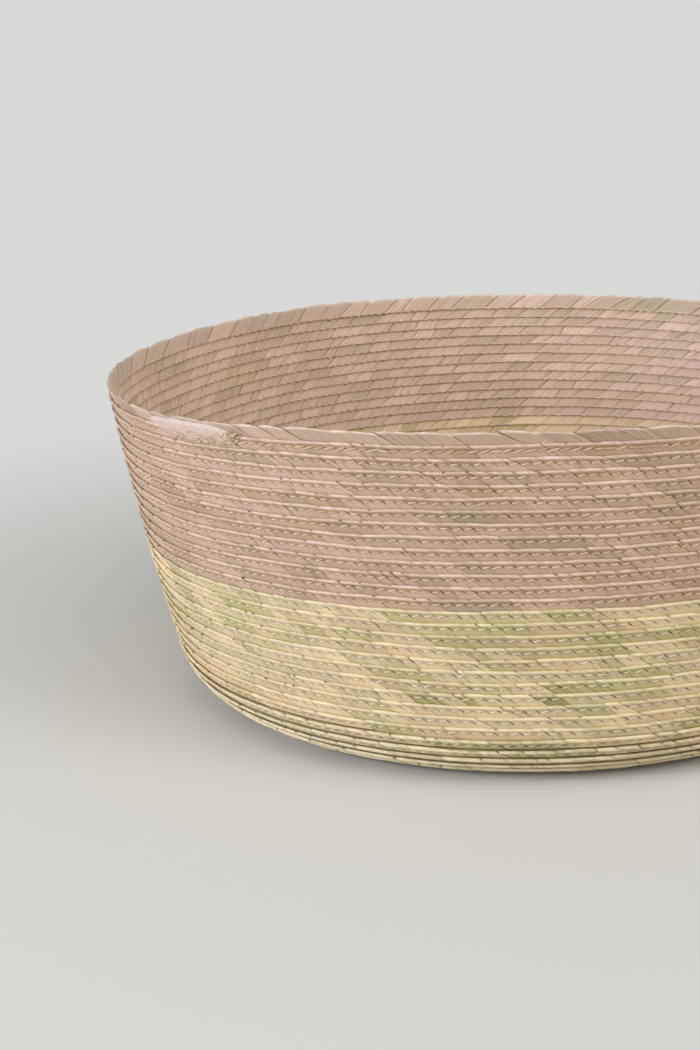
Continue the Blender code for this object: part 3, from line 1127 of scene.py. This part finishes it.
tack = {
    "seed": 5,
    "count": 60,
    "from": -8.5,  # degrees beside the joint
    "to": 3.2,
    "length": 0.0034,
    "radius": 0.00030,
    "spread": 0.0024,
    "cover": 0.00112,  # how far the joint's flat tail stands off the plait's middle
}
jointSection = [
    (-4.60, -0.62), (-3.20, -0.40), (-1.80, 0.10), (-0.40, 0.62), (0.60, 0.86), (2.40, 0.90), (4.60, 0.80),
    (5.50, 0.60), (5.70, 0.20), (5.30, 0.05), (2.40, 0.20), (0.60, 0.40), (-1.80, -0.50), (-4.40, -1.05),
]
jointStations = [  # share of its length, thickness and width of the flat tail
    (0.00, 0.30, 0.30), (0.06, 0.60, 0.62), (0.18, 0.86, 0.90), (0.34, 0.96, 1.0), (0.50, 1.04, 0.97), (0.66, 0.98, 1.0),
    (0.80, 1.04, 0.92), (0.90, 0.96, 0.74), (0.97, 0.70, 0.46), (1.00, 0.30, 0.24),
]


def makeJoint():
    # A new length of plait starts under the rim: its flat tail hides the ridge there
    rings = []
    for share, thick, wide in jointStations:
        rings.append([(share, wide * down / 1000, off * thick / 1000) for down, off in jointSection])
    shape = shapeObject("jointShape", rings)
    first, last = [jointTurn + radians(angle) for angle in stitch["joint"]]
    length = runAt(last) - runAt(first)
    values = {
        "turn": [first],
        "pace": [length / (last - first)],
        "leafLength": [length],
        "slantLeft": [leaf["slant"]],
        "slantRight": [leaf["slant"]],
        "swell": [1.0],
        "runStart": [runAt(first)],
        "leafTint": [0.5],
        "leafTone": [0.5],
    }
    inputs = {"Shape": shape, "Material": jointLeaf, "Notch": 0.0, "Pillow": 0.0, "Wander": 0.0}
    piece = grow(loosePoints("jointTail", values), leavesOfPlait, inputs)
    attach(piece, "root")
    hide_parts("pink_wall_plait")
    bpy.data.objects.remove(shape)


def makeTacks():
    # Loose back stitches go to and fro over the joint, closest together at its right end
    rng = np.random.default_rng(tack["seed"])
    shape = stitchShape("tackShape", 6)
    count = tack["count"]
    shares = np.sort(rng.random(count)) ** 0.7
    at = jointTurn + np.radians(tack["from"] + (tack["to"] - tack["from"]) * shares)
    values = {
        "turn": at,
        "pace": np.full(count, basket["rimRadius"]),
        "stretch": rng.uniform(0.6, 1.15, count),
        "stray": rng.uniform(-tack["spread"], tack["spread"], count),
        "lean": rng.choice([-1.0, 1.0], count) * rng.uniform(0.15, 0.8, count),
        "loose": rng.uniform(-0.00005, 0.00015, count),
        "shade": rng.random(count),
        "runStart": runAt(at),
    }
    inputs = {
        "Shape": shape,
        "Material": tanThread,
        "Length": tack["length"],
        "Radius": tack["radius"],
        "Below": threadDrop,
        "Stand": tack["cover"],
    }
    piece = grow(loosePoints("backStitches", values), stitchesOfSeam, inputs)
    finishStitches(piece, "tan_thread", "back_tack_1", "back_tack_2", "back_tack_3")
    bpy.data.objects.remove(shape)


sliver = {
    "seed": 31,
    "every": 0.30,  # metres of plait from one cut end to the next
    "length": 0.0022,
    "radius": 0.00042,
    "thick": 0.25,
    "drop": 0.0007,  # where it comes out from behind the ridge
    "folds": [  # start beside the joint in degrees, stretch, lean and metres down, at the plait's folded end
        (1.5, 2.6, 0.10, -0.0010), (1.6, 2.4, -0.25, -0.0002), (2.0, 2.0, 0.50, 0.0006),
        (2.6, 1.6, 0.90, 0.0002), (1.4, 1.5, -0.80, -0.0006),
    ],
}


def sliverShape():
    # A flat cut leaf end, broad where it comes out and narrow at its tip
    rings = []
    for share, wide in ((0.0, 1.0), (0.35, 0.95), (0.75, 0.60), (1.0, 0.16)):
        thick = sliver["thick"]
        rings.append([(share, 0.0, thick), (share, wide, 0.0), (share, 0.0, -thick), (share, -wide, 0.0)])
    return shapeObject("sliverShape", rings)


def makeSlivers():
    # Where a strand of the plait ran out, its cut end peeps over the ridge
    rng = np.random.default_rng(sliver["seed"])
    shape = sliverShape()
    zones = {
        "naturalLeafEnds": (startTurn, colourTurn, "natural_leaf", "natural_wall_plait"),
        "pinkLeafEnds": (colourTurn, rimTurn, "pink_leaf", "pink_wall_plait"),
    }
    for name, (first, last, slot, node) in zones.items():
        count = int((runAt(last) - runAt(first)) / sliver["every"])
        at = np.sort(rng.uniform(first, last, count))
        values = {
            "turn": at,
            "pace": np.interp(at, turns, paces),
            "stretch": rng.uniform(0.5, 1.3, count),
            "stray": rng.uniform(-0.0002, 0.0002, count),
            "lean": rng.uniform(0.35, 1.2, count),
            "loose": rng.uniform(-0.0001, 0.0002, count),
            "shade": rng.random(count),
            "runStart": runAt(at),
        }
        inputs = {
            "Shape": shape,
            "Material": cutEnds,
            "Length": sliver["length"],
            "Radius": sliver["radius"],
            "Below": sliver["drop"],
            "Stand": 0.0,
            "Bend": 0.0,
        }
        piece = grow(loosePoints(name, values), stitchesOfSeam, inputs)
        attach(piece, "root")
        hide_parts(node)
    # the joint's own end, folded over beside the rope
    place, stretch, lean, stray = np.array(sliver["folds"]).T
    count = len(place)
    values = {
        "turn": jointTurn + np.radians(place),
        "pace": np.full(count, basket["rimRadius"]),
        "stretch": stretch,
        "stray": stray,
        "lean": lean,
        "loose": np.linspace(0.0002, 0.0006, count),
        "shade": np.linspace(0.0, 1.0, count),
        "runStart": runAt(jointTurn + np.radians(place)),
    }
    inputs.update({"Material": oliveEnds, "Radius": 0.0008, "Below": 0.0002, "Stand": 0.0012, "Bend": 0.0004})
    piece = grow(loosePoints("foldedPlaitEnd", values), stitchesOfSeam, inputs)
    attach(piece, "root")
    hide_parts("pink_wall_plait")
    bpy.data.objects.remove(shape)


plaitStart = {  # the plait's own first end, folded into a small flat knot that closes the middle of the floor
    "radius": 0.0068,
    "thickness": 0.0020,
    "height": 0.0020,
    "shift": 0.0013,
    "shiftBack": 0.9,  # radians behind the first turn's start
    "sides": 28,
}


def makePlaitStart():
    radius, half = plaitStart["radius"], plaitStart["thickness"] / 2
    towards = centreTurn - plaitStart["shiftBack"]
    middle = (plaitStart["shift"] * cos(towards), plaitStart["shift"] * sin(towards), plaitStart["height"])
    angles = [tau * number / plaitStart["sides"] for number in range(plaitStart["sides"])]
    rings = []
    for wide, high in ((0.55, -1.0), (0.88, -0.86), (1.0, 0.0), (0.88, 0.86), (0.55, 1.0)):
        ring = [(wide * radius * cos(a), wide * radius * sin(a), high * half) for a in angles]
        rings.append([(middle[0] + x, middle[1] + y, middle[2] + z) for x, y, z in ring])
    piece = shapeObject("plaitStart", rings)
    mesh = piece.data
    count = len(mesh.vertices)
    places = np.empty(3 * count, np.float32)
    mesh.vertices.foreach_get("co", places)
    places = places.reshape(-1, 3) + np.array([0.0, width / 2, 0.0], np.float32)
    mesh.attributes.new("leafPlace", "FLOAT_VECTOR", "POINT").data.foreach_set("vector", places.ravel())
    values = {"leafShare": 0.5, "leafLength": 2 * radius, "leafTint": 0.45, "leafTone": 0.5, "leafWear": 1.0}
    for title, value in values.items():
        mesh.attributes.new(title, "FLOAT", "POINT").data.foreach_set("value", np.full(count, value, np.float32))
    mesh.materials.append(naturalLeaf)
    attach(piece, "root")
    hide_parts("floor_plait")


makePlaitStart()
makeStitches()
makeRopeStitches()
makeJoint()
makeTacks()
makeSlivers()
print("stitches sewn")


# Studio: a pale floor that fades into a pale ground, one large soft lamp and an even fill
studio = {
    "floorColour": (216, 216, 212),
    "ground": (216, 217, 215),
    "floorRadius": 4.0,
    "fadeFrom": 0.30,
    "fadeTo": 0.80,
    "fill": 0.40,
    "fillColour": (1.03, 1.0, 0.95, 1.0),
    "aim": (0.0, 0.0, 0.08),
    "lamps": {  # watts, place, size and colour
        "windowLamp": (39.5, (-2.2, -0.9, 0.8), 1.2, (0.94, 0.99, 1.12)),
        "topLamp": (9.0, (0.3, -0.9, 1.8), 1.6, (1.0, 1.0, 0.98)),
        "rightLamp": (17.5, (1.75, -1.35, 1.1), 1.6, (1.02, 1.0, 0.96)),
    },
}


def backgroundShare(tree):
    # 1 where a camera, a reflection or glass looks at the ground, 0 where it lights the object
    path = addNode(tree, "ShaderNodeLightPath")
    seen = output(path, "Is Camera Ray")
    seen = greater(seen, output(path, "Is Glossy Ray"))
    return greater(seen, output(path, "Is Transmission Ray"))


def makeStudio():
    world = bpy.data.worlds.new("paleRoom")
    world.use_nodes = True
    tree = world.node_tree
    tree.nodes.clear()
    ground = output(addNode(tree, "ShaderNodeBackground", {"Color": linear(*studio["ground"])}))
    fill = {"Color": studio["fillColour"], "Strength": studio["fill"]}
    fill = output(addNode(tree, "ShaderNodeBackground", fill))
    mix = tree.nodes.new("ShaderNodeMixShader")
    plug(tree, backgroundShare(tree), mix.inputs[0])
    plug(tree, fill, mix.inputs[1])
    plug(tree, ground, mix.inputs[2])
    plug(tree, output(mix), tree.nodes.new("ShaderNodeOutputWorld").inputs["Surface"])
    bpy.context.scene.world = world

    mesh = bpy.data.meshes.new("paleFloor")
    edge = [tau * number / 96 for number in range(96)]
    mesh.from_pydata([(studio["floorRadius"] * cos(a), studio["floorRadius"] * sin(a), 0.0) for a in edge], [], [range(96)])
    floor = bpy.data.objects.new("paleFloor", mesh)
    bpy.context.collection.objects.link(floor)
    material, tree, shader = newMaterial("paleFloor", 0.9)
    plug(tree, linear(*studio["floorColour"]), shader.inputs["Base Color"])
    shader.inputs["Specular IOR Level"].default_value = 0.1
    x, y, z = splitXyz(output(addNode(tree, "ShaderNodeTexCoord"), "Object"))
    far = nodeMath(tree, "SQRT", x * x + y * y)
    share = smoothRise(far, studio["fadeFrom"], studio["fadeTo"]) * backgroundShare(tree)
    glow = output(addNode(tree, "ShaderNodeEmission", {"Color": linear(*studio["ground"])}))
    mix = tree.nodes.new("ShaderNodeMixShader")
    plug(tree, share, mix.inputs[0])
    plug(tree, output(shader), mix.inputs[1])
    plug(tree, glow, mix.inputs[2])
    # the camera sees through the floor from below, and the fill lights the underside through it
    under = output(addNode(tree, "ShaderNodeNewGeometry"), "Backfacing") * backgroundShare(tree)
    under = greater(under, 1.0 - smoothRise(far, 0.9 * floorRadius, floorRadius))
    clear = tree.nodes.new("ShaderNodeMixShader")
    plug(tree, under, clear.inputs[0])
    plug(tree, output(mix), clear.inputs[1])
    plug(tree, output(tree.nodes.new("ShaderNodeBsdfTransparent")), clear.inputs[2])
    plug(tree, output(clear), tree.nodes["Material Output"].inputs["Surface"])
    mesh.materials.append(material)

    for name, (power, place, size, colour) in studio["lamps"].items():
        data = bpy.data.lights.new(name, "AREA")
        data.shape = "DISK"
        data.size = size
        data.energy = power
        data.color = colour
        lamp = bpy.data.objects.new(name, data)
        bpy.context.collection.objects.link(lamp)
        aim = Vector(studio["aim"]) - Vector(place)
        lamp.matrix_world = Matrix.Translation(place) @ aim.to_track_quat("-Z", "Y").to_matrix().to_4x4()
    bpy.context.scene.view_settings.view_transform = "Standard"


makeStudio()
print("studio set")
